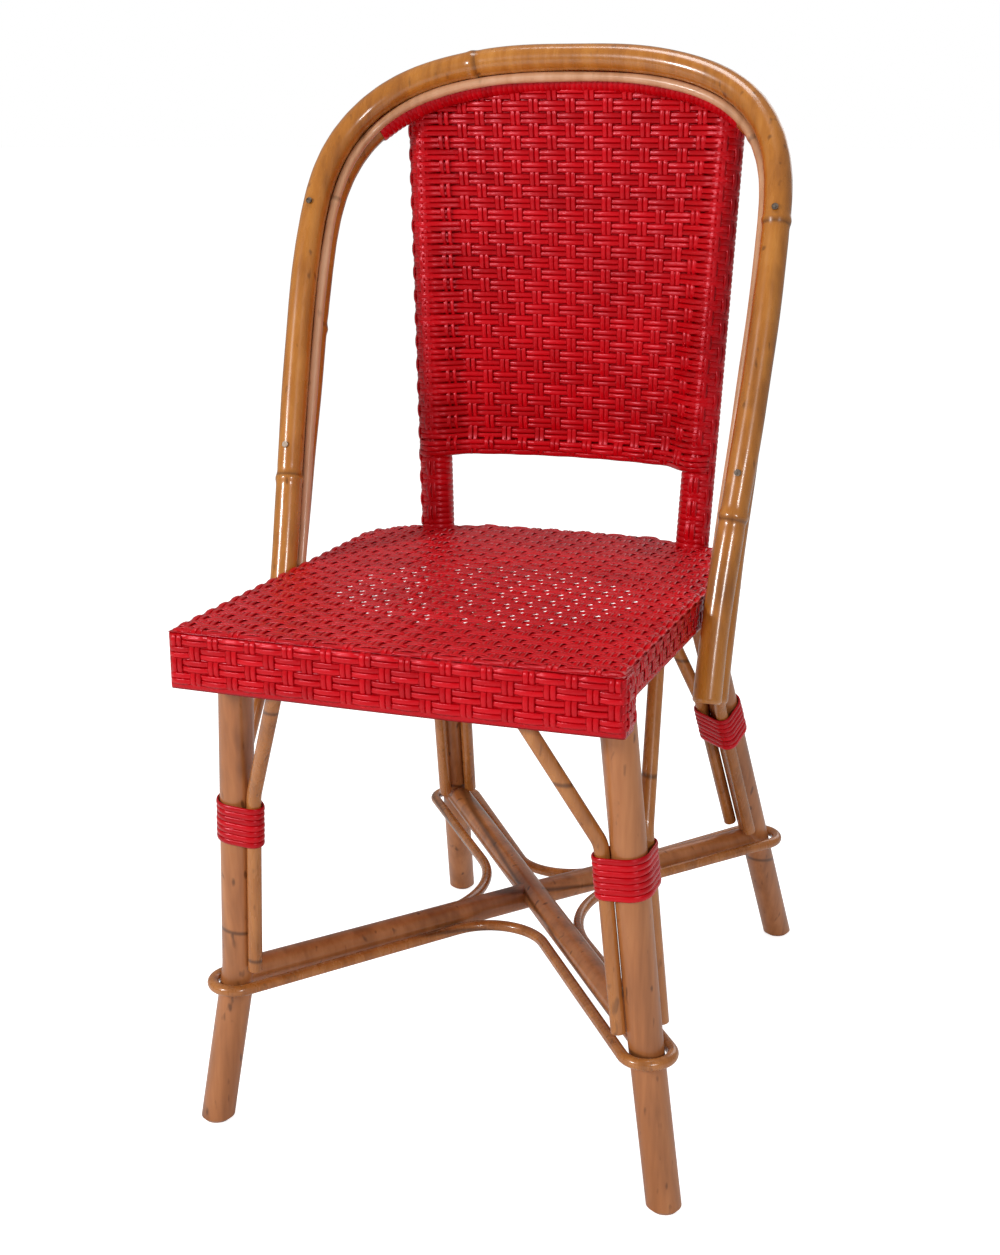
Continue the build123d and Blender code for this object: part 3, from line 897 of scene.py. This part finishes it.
uprights = Laid()
back_uprights(uprights)
uprights.piece("back_upright_strands", strand_paint.material, "back_weave", slot="red_strand")
crossings = Laid()
back_crossings(crossings)
crossings.piece("back_crossing_strands", strand_paint.material, slot="red_strand")
core = Laid()
back_core(core)
# The core is drawn in the darker red that paints shade into the gaps of the weave.
core.piece("back_core_strands", shaded_strand_paint.material, slot="red_strand")


# ------------------------------------------------------------ wound bindings


def wind(laid, line, radius, pitch, half_width):
    """Turns of strand wound side by side round a pole."""
    steps = 16
    helper = np.array([0.0, 1.0, 0.2])
    turns, _ = evenly(line, pitch)
    tangent = unit(np.gradient(turns, axis=0))
    for centre, along in zip(turns, tangent):
        a = unit(np.cross(along, helper))
        b = np.cross(along, a)
        angles = np.arange(steps) * 2 * math.pi / steps
        out = a[None] * np.cos(angles)[:, None] + b[None] * np.sin(angles)[:, None]
        slant = along[None] * (np.sin(angles)[:, None] * pitch * 0.12)
        laid.add(centre[None] + out * radius + slant, out, half_width, 0.8 * mm,
                 closed=True, sides=8)


def stile_runners(laid, sign, low_z):
    """Pairs that run up a stile, over two turns of its winding and under two."""
    for pair, turned in enumerate((0, 62)):
        for offset in (-9, 9):
            angle = math.radians(turned + offset)
            toward = np.array([sign * math.sin(angle), -math.cos(angle), 0.0])
            z = np.arange(low_z, stile_wound_top, strand_step)
            phase = (z - roll_bottom + 7 * mm) / back_pair_pitch_z - 0.5
            lift = stile_wrap + wave_depth * weave(phase + pair + back_columns)
            line = np.array([stile_at(h) for h in z])
            line[:, 0] *= sign
            line = line + toward * lift[:, None]
            out = np.tile(toward, (len(z), 1))
            laid.add(line, out, strand_half_width, strand_half_thick)


def wound_stile(side_name, sign):
    """The wound strand of one stile."""
    low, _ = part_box("stile_binding_" + side_name)
    heights = np.linspace(low.z - 1 * mm, stile_wound_top, 30)
    line = np.array([stile_at(z) for z in heights])
    line[:, 0] *= sign
    laid = Laid()
    wind(laid, line, 14.4 * mm, back_pair_pitch_z / 2, 2.85 * mm)
    stile_runners(laid, sign, low.z + 1 * mm)
    laid.piece("stile_winding_" + side_name, strand_paint.material,
               "stile_binding_" + side_name, slot="red_strand")


def wound_arch():
    """The strand wound round the inner hoop between its two bound ends."""
    low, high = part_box("arch_binding")
    end_gap = 8 * mm
    upper = inner_line[inner_line[:, 2] > arch_low]
    inside = (upper[:, 0] > low.x + end_gap) & (upper[:, 0] < high.x - end_gap)
    laid = Laid()
    wind(laid, upper[inside], 10.6 * mm, 4.9 * mm, 2.75 * mm)
    laid.piece("arch_winding", strand_paint.material, "arch_binding", slot="red_strand")


def wound_leg(node):
    """The turns of strand that tie two braces to a leg, following the CAD sleeve's outline."""
    turns = 7
    points = np.array([v.co for v in frame["nodes"][node].data.vertices])
    centre = points.mean(axis=0)
    spread = points - centre
    axis = leg_axis(node)
    level = spread @ axis
    flat = spread - level[:, None] * axis
    helper = unit(np.cross(axis, np.array([0.0, 1.0, 0.0])))
    other = np.cross(axis, helper)
    two = np.stack([flat @ helper, flat @ other], 1)
    hull = outer_ring(two)
    ring, _ = evenly(np.vstack([hull, hull[:1]]), 3.2 * mm)
    ring = ring[:-1]
    ring = lie_smooth(np.vstack([ring, ring[:2]]), 1)[1:-1]
    middle = ring.mean(axis=0)
    laid = Laid()
    pitch = (level.max() - level.min()) / turns
    for turn in range(turns):
        lift = level.min() + (turn + 0.5) * pitch
        wobble = draw.uniform(-0.25, 0.25) * mm
        out2 = unit(ring - middle)
        sunk = ring - out2 * (0.75 * mm - wobble)
        space = centre + sunk[:, :1] * helper + sunk[:, 1:] * other + lift * axis
        out = out2[:, :1] * helper + out2[:, 1:] * other
        laid.add(space, out, pitch * 0.52, 1.1 * mm, closed=True, sides=8)
    laid.piece(node.replace("binding", "winding"), strand_paint.material, node,
               slot="red_strand")


def leg_axis(node):
    """Direction of the leg that a binding ties."""
    towards = rightward if node.endswith("right") else -rightward
    leg = node_edges(node.replace("_binding", ""))
    low, high = level_cuts(leg, (0.24, 0.33), towards)
    return unit(high - low)


def outer_ring(points):
    """The outline of a flat set of points, in order round it."""
    points = points[np.lexsort((points[:, 1], points[:, 0]))]

    def half(ordered):
        made = []
        for p in ordered:
            while len(made) > 1:
                a, b = made[-1] - made[-2], p - made[-2]
                if a[0] * b[1] - a[1] * b[0] > 0:
                    break
                made.pop()
            made.append(p)
        return made[:-1]

    return np.array(half(points) + half(points[::-1]))


wound_stile("right", 1)
wound_stile("left", -1)
wound_arch()
for leg in ("front_leg", "rear_leg"):
    for side_name in ("left", "right"):
        wound_leg(f"{leg}_binding_{side_name}")


# ------------------------------------------------------------ hoops as real cane


def dark_lines(run, joints):
    """How dark the cane is close to each joint, from 0 to 1."""
    mark = np.zeros(len(run))
    for place, _ in joints:
        mark += np.exp(-(((run - place - 3.2 * mm) / (1.6 * mm)) ** 2))
    return np.clip(mark, 0, 1)


def joint_rings(run, joints):
    """Raised rings where the cane's joints are."""
    lift = np.zeros(len(run))
    for place, height in joints:
        lift += height * np.exp(-(((run - place) / (3.2 * mm)) ** 2))
        lift -= 0.25 * height * np.exp(-(((run - place - 7 * mm) / (4 * mm)) ** 2))
    return lift


def cane(name, node, radius, joints, material, slot):
    """A hoop cane with its joints, in place of the plain CAD tube."""
    line, run = evenly(hoop_lines[node], 2 * mm)
    line = lie_smooth(line, 6)
    backward = np.tile(np.array([0.0, 1.0, -0.35]), (len(line), 1))
    wobble = 0.15 * mm * np.sin(run * 61) + 0.12 * mm * np.sin(run * 23 + 1)
    width = radius + wobble + joint_rings(run, joints)
    width[0] = width[-1] = radius * 0.9
    laid = Laid()
    laid.add(line, backward, width, width, sides=20, joint=dark_lines(run, joints))
    laid.piece(name, material, node, slot=slot)


# Each joint: how far along the hoop it is, in metres, and how high its ring stands
cane("hoop_cane_outer", "outer_hoop", 11.4 * mm,
     [(0.155, 1.0 * mm), (0.60, 0.8 * mm), (0.98, 0.9 * mm), (1.22, 1.2 * mm)],
     hoop_paint.material, "hoop_cane")
cane("hoop_cane_inner", "inner_hoop", 9.7 * mm,
     [(0.29, 1.0 * mm), (0.9, 0.8 * mm), (1.1, 0.7 * mm)], hoop_paint.material, "hoop_cane")
cane("liner_cane", "hoop_liner_cane", 4.2 * mm, [(0.4, 0.5 * mm), (0.85, 0.5 * mm)],
     pale_paint.material, "pale_cane")


# ------------------------------------------------------------ floor, light and camera

scene = bpy.context.scene


def studio():
    """A pale floor, soft lamps and a pale surround."""
    bpy.ops.object.select_all(action="DESELECT")
    bpy.ops.mesh.primitive_plane_add(size=120, location=(0, 0, 0))
    floor = bpy.context.active_object
    floor.name = "floor"
    paint = Paint("pale_floor")
    paint.set(Base_Color=(0.9, 0.9, 0.9, 1), Roughness=0.9, Specular_IOR_Level=0.1)
    shown = paint.number("ShaderNodeLightPath", None, None, "Is Camera Ray")
    lit = paint.node("ShaderNodeCombineColor", None, {0: shown, 1: shown, 2: shown})
    paint.set(Emission_Color=lit.outputs[0], Emission_Strength=0.8)
    floor.data.materials.append(paint.material)
    world = bpy.data.worlds.new("surround")
    world.use_nodes = True
    surround = world.node_tree.nodes["Background"]
    surround.inputs["Color"].default_value = (1, 1, 1, 1)
    seen = world.node_tree.nodes.new("ShaderNodeLightPath")
    strength = world.node_tree.nodes.new("ShaderNodeMapRange")
    world.node_tree.links.new(seen.outputs["Is Camera Ray"], strength.inputs["Value"])
    strength.inputs["To Min"].default_value = 0.30
    strength.inputs["To Max"].default_value = 1.0
    world.node_tree.links.new(strength.outputs[0], surround.inputs["Strength"])
    scene.world = world
    lamp("key_lamp", (-1.45, -2.2, 1.45), 0.34, 36)
    lamp("fill_lamp", (1.7, -2.1, 1.3), 0.4, 17)
    lamp("top_lamp", (-0.1, 0.1, 2.6), 0.8, 15)
    lamp("rear_lamp", (0.6, 2.4, 1.6), 1.4, 9)


def lamp(name, place, size, power):
    """A square soft lamp aimed at the middle of the chair."""
    light = bpy.data.lights.new(name, "AREA")
    light.shape = "SQUARE"
    light.size = size
    light.energy = power
    made = bpy.data.objects.new(name, light)
    scene.collection.objects.link(made)
    made.location = place
    aim = Vector((0, 0, 0.5)) - Vector(place)
    made.rotation_euler = aim.to_track_quat("-Z", "Y").to_euler()


def set_camera():
    """The camera, looking down a little from the front right."""
    azimuth, elevation, roll = math.radians(20.13), math.radians(15.76), math.radians(0.14)
    aim = Vector((-0.0082, -0.0290 + y_shift, 0.3971))
    distance = 1.5488
    image_width, image_height = 1000, 1255
    focal_length = 1793.2
    lens_middle = (503.4, 631.1)
    back = Vector((
        math.sin(azimuth) * math.cos(elevation),
        -math.cos(azimuth) * math.cos(elevation),
        math.sin(elevation),
    ))
    data = bpy.data.cameras.new("camera")
    data.sensor_width = 36
    data.lens = focal_length / image_height * data.sensor_width
    data.shift_x = (image_width / 2 - lens_middle[0]) / image_height
    data.shift_y = (lens_middle[1] - image_height / 2) / image_height
    data.clip_end = 100
    made = bpy.data.objects.new("camera", data)
    scene.collection.objects.link(made)
    made.location = aim + back * distance
    made.rotation_euler = (math.pi / 2 - elevation, roll, azimuth)
    scene.camera = made


studio()
set_camera()
scene.view_settings.view_transform = "Standard"
